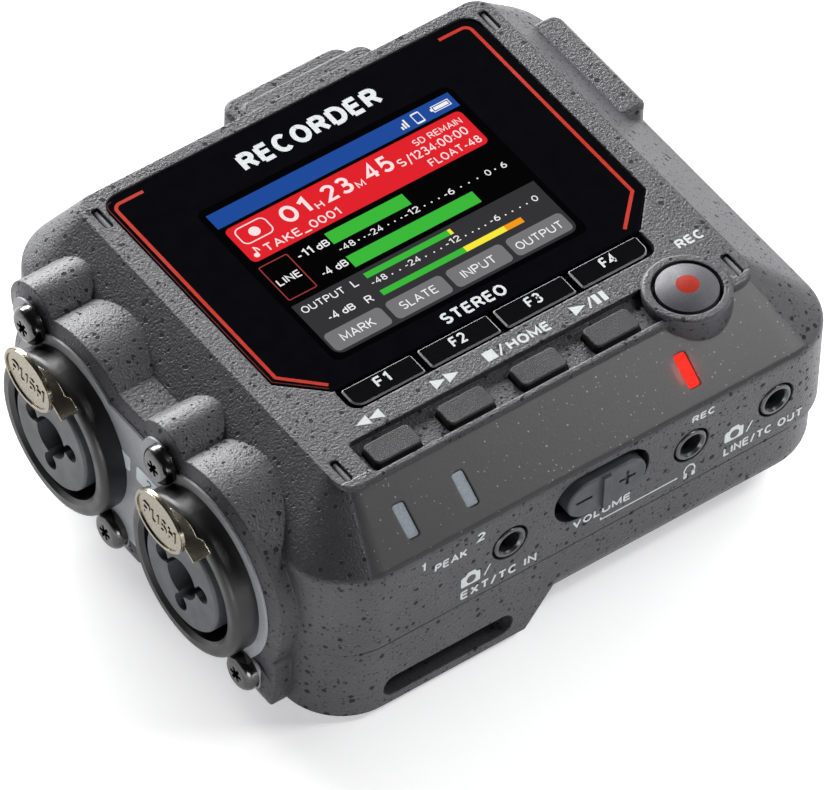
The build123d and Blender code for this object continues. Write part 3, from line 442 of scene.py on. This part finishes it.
# plain sans letters on a capital one unit high: width, then the pen's paths
oval = arc(0.33, 0.5, 0.33, 0.5, 90, 450, 24)
bowl = [(0.0, 0.0), (0.0, 1.0)]
letters = {
    "A": (0.70, [[(0, 0), (0.35, 1), (0.70, 0)], [(0.13, 0.33), (0.57, 0.33)]]),
    "B": (0.60, [bowl, [(0, 1), (0.34, 1)] + arc(0.34, 0.765, 0.22, 0.235, 90, -90) + [(0, 0.53)],
                 [(0.34, 0.53)] + arc(0.36, 0.265, 0.24, 0.265, 90, -90) + [(0, 0)]]),
    "C": (0.64, [arc(0.34, 0.5, 0.34, 0.5, 48, 312, 18)]),
    "D": (0.64, [bowl, [(0, 1), (0.28, 1)] + arc(0.28, 0.5, 0.36, 0.5, 90, -90, 14) + [(0, 0)]]),
    "E": (0.54, [bowl, [(0, 1), (0.54, 1)], [(0, 0.53), (0.50, 0.53)], [(0, 0), (0.54, 0)]]),
    "F": (0.50, [bowl, [(0, 1), (0.50, 1)], [(0, 0.52), (0.46, 0.52)]]),
    "G": (0.68, [arc(0.36, 0.5, 0.36, 0.5, 50, 345, 18) + [(0.70, 0.46), (0.40, 0.46)]]),
    "H": (0.62, [bowl, [(0.62, 0), (0.62, 1)], [(0, 0.53), (0.62, 0.53)]]),
    "I": (0.0, [bowl]),
    "K": (0.60, [bowl, [(0.56, 1), (0, 0.36)], [(0.20, 0.58), (0.60, 0)]]),
    "L": (0.48, [[(0, 1), (0, 0), (0.48, 0)]]),
    "M": (0.76, [[(0, 0), (0, 1), (0.38, 0.18), (0.76, 1), (0.76, 0)]]),
    "N": (0.62, [[(0, 0), (0, 1), (0.62, 0), (0.62, 1)]]),
    "O": (0.70, [[(x * 1.06, y) for x, y in oval]]),
    "P": (0.56, [bowl, [(0, 1), (0.32, 1)] + arc(0.32, 0.735, 0.24, 0.265, 90, -90) + [(0, 0.47)]]),
    "R": (0.60, [bowl, [(0, 1), (0.33, 1)] + arc(0.33, 0.745, 0.24, 0.255, 90, -90) + [(0, 0.49)],
                 [(0.33, 0.49), (0.60, 0)]]),
    "S": (0.56, [arc(0.28, 0.745, 0.26, 0.255, 40, 262, 12) + arc(0.28, 0.26, 0.28, 0.26, 78, -142, 12)]),
    "T": (0.60, [[(0.30, 0), (0.30, 1)], [(0, 1), (0.60, 1)]]),
    "U": (0.62, [[(0, 1), (0, 0.31)] + arc(0.31, 0.31, 0.31, 0.31, 180, 360, 12) + [(0.62, 1)]]),
    "V": (0.66, [[(0, 1), (0.33, 0), (0.66, 1)]]),
    "X": (0.62, [[(0.02, 1), (0.60, 0)], [(0.60, 1), (0.02, 0)]]),
    "d": (0.50, [[(0.50, 1), (0.50, 0)], arc(0.25, 0.34, 0.25, 0.34, 0, 360, 18)]),
    "0": (0.54, [[(x * 0.82, y) for x, y in oval]]),
    "1": (0.24, [[(0, 0.80), (0.24, 1), (0.24, 0)]]),
    "2": (0.52, [arc(0.26, 0.74, 0.25, 0.26, 165, -35, 12) + [(0, 0), (0.52, 0)]]),
    "3": (0.52, [arc(0.25, 0.75, 0.23, 0.25, 150, -90, 12) + arc(0.25, 0.25, 0.27, 0.27, 90, -150, 12)]),
    "4": (0.58, [[(0.42, 0), (0.42, 1), (0, 0.28), (0.58, 0.28)]]),
    "5": (0.52, [[(0.46, 1), (0.09, 1), (0.04, 0.52)] + arc(0.24, 0.31, 0.27, 0.31, 125, -145, 12)]),
    "6": (0.52, [arc(0.26, 0.30, 0.26, 0.30, 0, 360, 18),
                 [(0.01, 0.34), (0.07, 0.66), (0.22, 0.88), (0.42, 1)]]),
    "8": (0.52, [arc(0.26, 0.75, 0.22, 0.24, 0, 360, 18), arc(0.26, 0.26, 0.26, 0.26, 0, 360, 18)]),
    "-": (0.30, [[(0, 0.38), (0.30, 0.38)]]),
    "_": (0.50, [[(-0.06, -0.12), (0.56, -0.12)]]),
    ":": (0.0, [[(0, 0.06), (0, 0.16)], [(0, 0.56), (0, 0.66)]]),
    "/": (0.34, [[(0, -0.08), (0.34, 1.04)]]),
    " ": (0.16, []),
}


# a word from x0 to x1 with its capitals standing on base; weight is the pen's width on a capital of one
def word(batch, text, x0, x1, base, tall, where, weight=0.15, thick=inkThick):
    gap = weight + 0.13
    wide = (x1 - x0) / (sum(letters[c][0] + gap for c in text) - gap + weight)
    pen = x0 + weight / 2 * wide
    for c in text:
        width, paths = letters[c]
        for level, path in enumerate(paths):
            points = [(pen + x * wide, base + (weight / 2 + y * (1 - weight)) * tall) for x, y in path]
            lift = level * thick * 0.15  # crossing strokes lie at slightly different heights
            strokeOf(batch, points, weight * (wide + tall) / 2,
                     lambda x, y, z, lift=lift: where(x, y, z + lift), thick)
        pen += (width + gap) * wide


def makePiece(batch, name, material, body):
    mesh = bpy.data.meshes.new(name)
    mesh.from_pydata([place(*p) for p in batch.points], [], batch.faces)
    mesh.validate()
    piece = bpy.data.objects.new(name, mesh)
    bpy.context.scene.collection.objects.link(piece)
    piece.data.materials.append(material)
    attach(piece, body)
    return piece


# what the display shows, across and up from the lower left corner of the lit area
screenLook = dict(left=-21.0, low=-9.0, layer=0.008, clear=0.004)
glassTop = high("display_window").z


def onScreen(layer):
    height = glassTop + screenLook["clear"] + screenLook["layer"] * layer
    return lambda x, y, z: (screenLook["left"] + x, screenLook["low"] + y, height + z)


screenColours = dict(blue="#1f4a9a", red="#e0222b", green="#3bb83a", yellow="#f8ea3a", orange="#f39a1a",
                     black="#010102", panel="#333335", key="#757577", white="#f2f2f2", cream="#fbe3e4",
                     outline="#a03a3c")
shown = {name: Batch() for name in screenColours}

# dark edge, status bar, counter, and the bar that holds the four soft keys
slabOf(shown["black"], roundBox(-0.9, -0.9, 41.7, 31.9, 1.2), onScreen(0))
slabOf(shown["blue"], plainBox(0.1, 27.75, 40.9, 30.7), onScreen(1))
slabOf(shown["red"], roundBox(0.5, 19.95, 40.25, 27.15, 0.9), onScreen(1))
slabOf(shown["panel"], plainBox(0.0, 1.6, 40.75, 10.7), onScreen(1))
slabOf(shown["panel"], roundBox(0.0, 0.0, 40.75, 3.4, 1.5), onScreen(1))
for left, right in ((0.38, 9.8), (10.6, 19.97), (20.7, 30.08), (30.8, 40.2)):
    slabOf(shown["key"], roundBox(left, 0.5, right, 4.1, 0.75), onScreen(2))
# level meters: colour, left, right, bottom, top
meters = [("green", 11.48, 24.54, 16.67, 18.95), ("green", 11.42, 32.68, 11.6, 13.9),
          ("green", 11.52, 25.58, 9.04, 10.05), ("yellow", 25.58, 26.1, 9.04, 10.05),
          ("green", 11.54, 25.55, 5.28, 6.3), ("yellow", 25.55, 32.38, 5.28, 6.3),
          ("orange", 32.38, 35.27, 5.28, 6.3)]
for colour, x0, x1, y0, y1 in meters:
    slabOf(shown[colour], plainBox(x0, y0, x1, y1), onScreen(2))

# outline round the input's name, and the recording sign
bandOf(shown["outline"], roundBox(0.4, 11.7, 5.2, 18.97, 0.3),
       roundBox(0.56, 11.86, 5.04, 18.81, 0.2), onScreen(2))
bandOf(shown["cream"], roundBox(1.42, 23.17, 6.55, 26.5, 1.0),
       roundBox(1.62, 23.37, 6.35, 26.3, 0.8), onScreen(2))
slabOf(shown["cream"], disc(4.0, 24.75, 0.85), onScreen(2))
# music note
slabOf(shown["cream"], disc(1.75, 21.0, 0.42), onScreen(2))
slabOf(shown["cream"], plainBox(1.98, 21.0, 2.16, 22.5), onScreen(2))
strokeOf(shown["cream"], [(2.1, 22.4), (2.45, 22.0), (2.6, 21.5)], 0.22, onScreen(2))

screenWords = [
    # text, left, right, baseline, height of a capital, colour, weight
    ("01", 8.4, 13.0, 23.2, 3.0, "cream", 0.17), ("23", 15.5, 20.0, 23.2, 3.0, "cream", 0.17),
    ("45", 22.4, 26.9, 23.2, 3.0, "cream", 0.17), ("H", 13.55, 14.7, 23.0, 1.3, "cream", 0.14),
    ("M", 20.35, 21.65, 23.0, 1.3, "cream", 0.14), ("S", 27.35, 28.5, 22.9, 1.45, "cream", 0.14),
    ("/", 28.85, 29.5, 22.6, 1.9, "cream", 0.12), ("1234:00:00", 29.6, 38.95, 22.85, 1.55, "cream", 0.14),
    ("SD REMAIN", 31.3, 39.35, 24.95, 1.15, "cream", 0.13),
    ("FLOAT-48", 30.95, 39.55, 20.6, 1.4, "cream", 0.14),
    ("TAKE_0001", 3.25, 15.8, 20.6, 1.45, "cream", 0.14),
    ("-11", 6.0, 8.5, 16.9, 1.45, "white", 0.15), ("dB", 9.15, 11.15, 16.9, 1.2, "white", 0.15),
    ("-4", 6.9, 8.5, 12.5, 1.45, "white", 0.15), ("dB", 9.15, 11.1, 12.5, 1.2, "white", 0.15),
    ("LINE", 0.95, 4.75, 14.5, 1.3, "white", 0.15),
    ("OUTPUT", 0.75, 7.8, 8.6, 1.25, "white", 0.13), ("L", 9.1, 10.05, 8.65, 1.35, "white", 0.13),
    ("-4", 2.9, 4.6, 5.5, 1.45, "white", 0.15), ("dB", 5.2, 7.2, 5.5, 1.2, "white", 0.15),
    ("R", 8.95, 10.05, 5.2, 1.35, "white", 0.13),
    ("-48", 11.4, 14.05, 14.95, 1.1, "white", 0.13), ("-24", 16.2, 18.75, 14.95, 1.1, "white", 0.13),
    ("-12", 22.35, 24.9, 14.95, 1.1, "white", 0.13), ("-6", 29.05, 30.75, 14.95, 1.1, "white", 0.13),
    ("0", 36.1, 36.95, 14.9, 1.1, "white", 0.13), ("6", 38.7, 39.55, 14.85, 1.1, "white", 0.13),
    ("-48", 11.4, 13.95, 7.5, 1.05, "white", 0.13), ("-24", 17.0, 19.6, 7.5, 1.05, "white", 0.13),
    ("-12", 23.8, 26.3, 7.5, 1.05, "white", 0.13), ("-6", 31.3, 33.0, 7.5, 1.05, "white", 0.13),
    ("0", 38.5, 39.4, 7.45, 1.05, "white", 0.13),
    ("MARK", 2.3, 7.75, 1.55, 1.5, "white", 0.12), ("SLATE", 12.2, 18.2, 1.6, 1.45, "white", 0.12),
    ("INPUT", 22.4, 28.0, 1.5, 1.45, "white", 0.12), ("OUTPUT", 31.55, 39.3, 1.45, 1.4, "white", 0.12),
]
for text, x0, x1, base, tall, colour, weight in screenWords:
    word(shown[colour], text, x0, x1, base, tall, onScreen(3), weight)

# scale dots between the numbers over each pair of meters
inputDots = (14.71, 15.67, 19.67, 20.78, 21.87, 25.79, 26.99, 28.2, 31.95, 33.29, 34.73, 37.73)
outputDots = (14.8, 16.1, 20.44, 21.82, 22.99, 27.13, 28.3, 29.35, 30.45, 33.89, 35.04, 36.32, 37.48)
for row, y in ((inputDots, 15.39), (outputDots, 7.78)):
    for x in row:
        slabOf(shown["white"], disc(x, y, 0.13, 10), onScreen(3))

# status row: signal bars, telephone, battery
for i in range(3):
    slabOf(shown["white"], plainBox(31.7 + 0.45 * i, 28.4, 31.98 + 0.45 * i, 29.0 + 0.5 * i), onScreen(2))
bandOf(shown["white"], roundBox(34.0, 28.1, 35.4, 30.2, 0.2),
       roundBox(34.14, 28.4, 35.26, 29.95, 0.1), onScreen(2))
bandOf(shown["white"], plainBox(37.2, 28.6, 40.15, 29.8),
       plainBox(37.34, 28.74, 40.01, 29.66), onScreen(2))
slabOf(shown["white"], plainBox(37.5, 28.9, 39.85, 29.5), onScreen(2))
slabOf(shown["white"], plainBox(36.9, 28.95, 37.2, 29.45), onScreen(2))

for name, batch in shown.items():
    crystal = backlit("backlitCrystal" + name.capitalize(), screenColours[name])
    makePiece(batch, "screen_" + name, crystal, "case")
print("display drawn")

# red line and printed words on the glass
glassPrint = Batch()
onGlass = onTop(glassTop + screenLook["clear"])
accentLook = dict(left=-30.2, right=29.75, low=-7.5, cut=(5.1, -12.55), top=30.35, tail=5.0, radius=1.1,
                  width=0.54, edgeWidth=0.16, edgeOffset=0.85)


# a short run at the rear, a round corner, the side of the window, and its cut front corner
def accentPath(side, offset=0.0):
    x = accentLook["left" if side < 0 else "right"] + side * offset
    top, radius = accentLook["top"] + offset, accentLook["radius"]
    path = [(x - side * (accentLook["tail"] + offset), top)]
    path += arc(x - side * radius, top - radius, side * radius, radius, 90, 0, 6)
    return path + [(x, accentLook["low"] - offset * 0.4),
                   (x - side * (accentLook["cut"][0] + offset * 0.6), accentLook["cut"][1] - offset * 0.7)]


redLine, redEdge = Batch(), Batch()
for side in (-1, 1):
    strokeOf(redLine, accentPath(side), accentLook["width"], onGlass)
strokeOf(redEdge, accentPath(-1, accentLook["edgeOffset"])[1:], accentLook["edgeWidth"], onGlass)
makePiece(redLine, "accent_line", materials["accent"], "case")
makePiece(redEdge, "accent_edge", materials["accentDim"], "case")

word(glassPrint, "RECORDER", -11.4, 11.9, 25.15, 3.5, onGlass, 0.24)
word(glassPrint, "STEREO", -5.7, 4.85, -12.9, 2.05, onGlass, 0.20)
makePiece(glassPrint, "glass_print", materials["ink"], "case")

# numbers on the function keys, which go down with them
for i in (1, 2, 3, 4):
    key = f"function_key_{i}"
    middle = (high(key).x + low(key).x) / 2
    legend = Batch()
    word(legend, f"F{i}", middle - 1.22, middle + 1.22, -16.75, 1.88, onTop(high(key).z + 0.004), 0.19)
    makePiece(legend, f"legend_f{i}", materials["ink"], key + "_body")

# marks printed in front of the transport keys
printClear = 0.005
keyMarks = dict(low=-21.58, top=-19.8)
legends = Batch()
deck = onTop(caseTop + printClear)


def triangle(batch, back, tip, where):
    middle = (keyMarks["low"] + keyMarks["top"]) / 2
    points = [(back, keyMarks["low"]), (tip, middle), (back, keyMarks["top"])]
    slabOf(batch, points if tip > back else points[::-1], where)


for back, tip in ((-24.33, -26.44), (-22.2, -24.28), (-13.72, -11.7), (-11.52, -9.45), (9.62, 11.8)):
    triangle(legends, back, tip, deck)
slabOf(legends, plainBox(-5.05, -21.58, -3.33, -19.83), deck)
strokeOf(legends, [(-2.9, -21.6), (-1.85, -19.8)], 0.28, deck)
strokeOf(legends, [(12.1, -21.6), (13.05, -19.8)], 0.28, deck)
slabOf(legends, plainBox(13.3, -21.6, 14.05, -19.8), deck)
slabOf(legends, plainBox(14.5, -21.6, 15.25, -19.8), deck)
word(legends, "HOME", -1.25, 5.75, -21.58, 1.68, deck, 0.21)
word(legends, "REC", 28.55, 32.95, -19.88, 1.66, deck, 0.21)


# where a ray from inside an outline leaves it
def rayOut(start, direction, outline):
    reach = []
    for (ax, ay), (bx, by) in zip(outline, outline[1:] + outline[:1]):
        edge, offset = Vector((bx - ax, by - ay)), Vector((ax, ay)) - start
        cross = direction.cross(edge)
        if abs(cross) < 1e-9:
            continue
        far, along = offset.cross(edge) / cross, offset.cross(direction) / cross
        if far > 0 and -1e-6 <= along <= 1 + 1e-6:
            reach.append(far)
    return start + direction * min(reach)


# a camera seen from the front; its lens is left open, so the body is a band round it
def cameraIcon(batch, x, z, where):
    body = [(x, z), (x + 3.2, z - 0.02), (x + 3.2, z + 2.0), (x + 2.6, z + 2.05), (x + 2.3, z + 2.6),
            (x + 1.1, z + 2.6), (x + 0.75, z + 2.05), (x, z + 2.0)]
    middle = Vector((x + 1.7, z + 1.05))
    lens = disc(middle.x, middle.y, 0.78, 32)
    outer = [tuple(rayOut(middle, (Vector(point) - middle).normalized(), body)) for point in lens]
    bandOf(batch, outer, lens, where)


# legends on the front: text, left, right, baseline, height of a capital
frontWords = [
    ("1", -28.62, -27.92, 25.0, 1.65), ("2", -19.4, -18.0, 25.05, 1.68), ("PEAK", -26.35, -20.95, 23.6, 1.5),
    ("EXT/TC IN", -21.75, -9.0, 14.78, 1.6), ("VOLUME", -3.05, 6.8, 17.05, 1.4),
    ("REC", 16.7, 20.65, 25.85, 1.3), ("LINE/TC OUT", 22.7, 36.25, 15.2, 1.6)]
front = onFront(caseFront - printClear)
for text, x0, x1, base, tall in frontWords:
    word(legends, text, x0, x1, base, tall, front, 0.20)
for x, z in ((-21.75, 17.15), (22.7, 17.85)):
    cameraIcon(legends, x, z, front)
for x, z in ((-17.85, 17.45), (26.45, 17.95)):
    strokeOf(legends, [(x, z), (x + 0.95, z + 1.75)], 0.24, front)
# a line from the volume legend to the headphones beside it
strokeOf(legends, [(1.8, 16.35), (1.8, 15.92), (14.8, 15.92)], 0.24, front)
headband = [(16.0, 15.6), (15.95, 16.5), (16.25, 17.15), (16.85, 17.42),
            (17.45, 17.15), (17.75, 16.5), (17.7, 15.6)]
strokeOf(legends, headband, 0.24, front)
for x in (16.15, 17.55):
    slabOf(legends, roundBox(x - 0.3, 14.95, x + 0.3, 15.95, 0.2), front)
makePiece(legends, "case_legends", materials["ink"], "case")

# labels on the connector panel
panelFace = low("connector_plate").x
labelLook = dict(halfWidth=2.9, low=19.9, top=22.8, corner=0.5, thick=0.06, digitLow=20.45, digitTall=1.75)
labels, digits = Batch(), Batch()
for number, y, halfDigit in (("1", 4.2, 0.4), ("2", -3.1, 0.6)):
    outline = roundBox(-y - labelLook["halfWidth"], labelLook["low"], -y + labelLook["halfWidth"],
                       labelLook["top"], labelLook["corner"])
    slabOf(labels, outline, onLeft(panelFace - printClear), labelLook["thick"])
    word(digits, number, -y - halfDigit, -y + halfDigit, labelLook["digitLow"], labelLook["digitTall"],
         onLeft(panelFace - labelLook["thick"] - 0.01), 0.18)
makePiece(labels, "channel_labels", materials["sticker"], "case")
makePiece(digits, "channel_digits", materials["inkDark"], "case")
print("prints and labels done")

# release latches: a curved hood that runs out over the socket, and raised letters in a rim
latchLook = dict(shellRadius=12.75, thick=0.45, rearAngle=20.0, frontAngle=-30.0, root=0.25, reach=2.9,
                 tailReach=0.2, tailSink=0.2, steps=16, tailSteps=4, soften=0.12, leafMiddle=4.3,
                 lettersWide=7.4, lettersTall=2.3, lettersLow=-1.2, letterRise=0.14, rimRise=0.22,
                 rimOuter=(5.3, 4.2), rimInner=(4.85, 3.75))


# the hood's cross section at one step round the socket: two points under it and two on top
def hoodSection(step, leafX, ring):
    look = latchLook
    share = step / look["steps"]
    angle = math.radians(look["rearAngle"] + (look["frontAngle"] - look["rearAngle"]) * share)
    reach, near = look["reach"] * (0.55 + 0.45 * math.sin(math.pi * share)), look["shellRadius"]
    tail = step - (look["steps"] - look["tailSteps"])
    if tail > 0:  # the last part is a folded tail, which reaches further out and sinks
        reach, near = look["reach"] + look["tailReach"], near - look["tailSink"] * tail / look["tailSteps"]
    outward = Vector((0, math.sin(angle), math.cos(angle)))
    corners = ((look["root"], near), (reach, near), (reach, near + look["thick"]),
               (look["root"], near + look["thick"]))
    return [Vector((leafX + x, ring.y, ring.z)) + outward * radius for x, radius in corners]


for i in (1, 2):
    latch, insert, body = f"release_latch_{i}", f"connector_insert_{i}", f"latch_{i}_body"
    leafX = low(latch).x
    across = -(low(latch).y + high(latch).y) / 2
    leafZ = high(latch).z - latchLook["leafMiddle"]
    ring = (low(insert) + high(insert)) / 2
    steps = latchLook["steps"]
    hood = Batch()
    points = [point for k in range(steps + 1) for point in hoodSection(k, leafX, ring)]
    faces = [(4 * k + a, 4 * k + (a + 1) % 4, 4 * k + 4 + (a + 1) % 4, 4 * k + 4 + a)
             for k in range(steps) for a in range(4)]
    hood.add(points, faces + [(3, 2, 1, 0), tuple(range(4 * steps, 4 * steps + 4))])
    piece = makePiece(hood, f"latch_hood_{i}", materials["nickel"], body)
    soften = piece.modifiers.new("soften", "BEVEL")
    soften.width, soften.segments, soften.limit_method = latchLook["soften"] * mm, 2, "ANGLE"
    marks = Batch()
    onLeaf = onLeft(leafX + 0.02)
    half = latchLook["lettersWide"] / 2
    word(marks, "PUSH", across - half, across + half, leafZ + latchLook["lettersLow"],
         latchLook["lettersTall"], onLeaf, 0.18, latchLook["letterRise"])
    outer, inner = [arc(across, leafZ, rx, rz, 0, 360, 48)[:-1]
                    for rx, rz in (latchLook["rimOuter"], latchLook["rimInner"])]
    bandOf(marks, outer, inner, onLeaf, latchLook["rimRise"])
    makePiece(marks, f"latch_letters_{i}", materials["nickel"], body)
print("latches done")

# floor: a white sweep, lit through from below so that it stays white beside the case
floorLook = dict(half=3.0, tones=("#f2f2f2", "#f6f6f6"), grainMm=1.5, glow="#fbfbfd", strength=0.44)
half = floorLook["half"]
floorMesh = bpy.data.meshes.new("floor")
floorMesh.from_pydata([(x, y, 0) for x, y in plainBox(-half, -half, half, half)], [], [(0, 1, 2, 3)])
floor = bpy.data.objects.new("floor", floorMesh)
bpy.context.scene.collection.objects.link(floor)
paperSweep, tree = newMaterial("whitePaperSweep")
fibres = addNode(tree, "TexNoise", {"Vector": addNode(tree, "TexCoord").outputs["Object"],
                                    "Scale": perMetre(floorLook["grainMm"]), "Detail": 3.0})
shade, pale = floorLook["tones"]
paper = addNode(tree, "Mix", {0: fibres, 6: shade, 7: pale}, data_type="RGBA")
finishMaterial(tree, {"Base Color": paper, "Roughness": 0.9, "Specular IOR Level": 0.1,
                      "Emission Color": floorLook["glow"], "Emission Strength": floorLook["strength"]})
floor.data.materials.append(paperSweep)


def areaLamp(name, spot, size, watts, colour=(1, 1, 1)):
    lamp = bpy.data.objects.new(name, bpy.data.lights.new(name, "AREA"))
    lamp.data.shape, lamp.data.size, lamp.data.size_y = "RECTANGLE", size[0], size[1]
    lamp.data.energy, lamp.data.color = watts, colour
    lamp.location = spot
    lamp.rotation_mode = "QUATERNION"
    bpy.context.scene.collection.objects.link(lamp)
    return lamp


softboxes = [
    # name, place, size, watts; all in metres and turned to the middle of the case
    ("rear", (0.18, 1.08, 0.43), (1.1, 0.42), 38.0),
    ("right", (1.02, 0.10, 0.78), (0.6, 0.5), 6.5),
    ("frontLeft", (-0.14, -0.17, 0.045), (0.10, 0.06), 0.11),
    ("front", (0.45, -0.95, 0.09), (1.2, 0.10), 1.5),
    ("facetEnd", (0.165, -0.135, 0.230), (0.06, 0.06), 0.34),
]
for name, spot, size, watts in softboxes:
    lamp = areaLamp(name, spot, size, watts)
    lamp.rotation_quaternion = (Vector((0, 0, 0.02)) - Vector(spot)).to_track_quat("-Z", "Y")

# the record light throws a little red on the case round it
glowLook = dict(away=2.2, size=3.0, watts=0.00016, colour=(1.0, 0.06, 0.04))
panelNormal = Vector(shellLook["facetNormal"]).normalized()
guideMiddle = (low("record_light_guide") + high("record_light_guide")) / 2
spot = place(*(guideMiddle + panelNormal * glowLook["away"]))
recordGlow = areaLamp("recordGlow", spot, (glowLook["size"] * mm,) * 2, glowLook["watts"],
                      glowLook["colour"])
recordGlow.rotation_quaternion = (-panelNormal).to_track_quat("-Z", "Y")

# studio walls: pale near the table and dark above it, so that the glass reflects black
wallLook = dict(paleUpTo=0.02, darkFrom=0.34, pale=0.75, dark=0.035)
world = bpy.data.worlds.new("studio")
world.use_nodes = True
sky = world.node_tree
sky.nodes.clear()
rise = addNode(sky, "SeparateXYZ", [addNode(sky, "TexCoord").outputs["Generated"]]).outputs[2]
glow = addNode(sky, "MapRange", [rise, wallLook["paleUpTo"], wallLook["darkFrom"], wallLook["pale"],
                                 wallLook["dark"]], interpolation_type="SMOOTHSTEP")
addNode(sky, "OutputWorld", [addNode(sky, "Background", {"Color": "#ffffff", "Strength": glow})])
bpy.context.scene.world = world
print("floor and lights done")
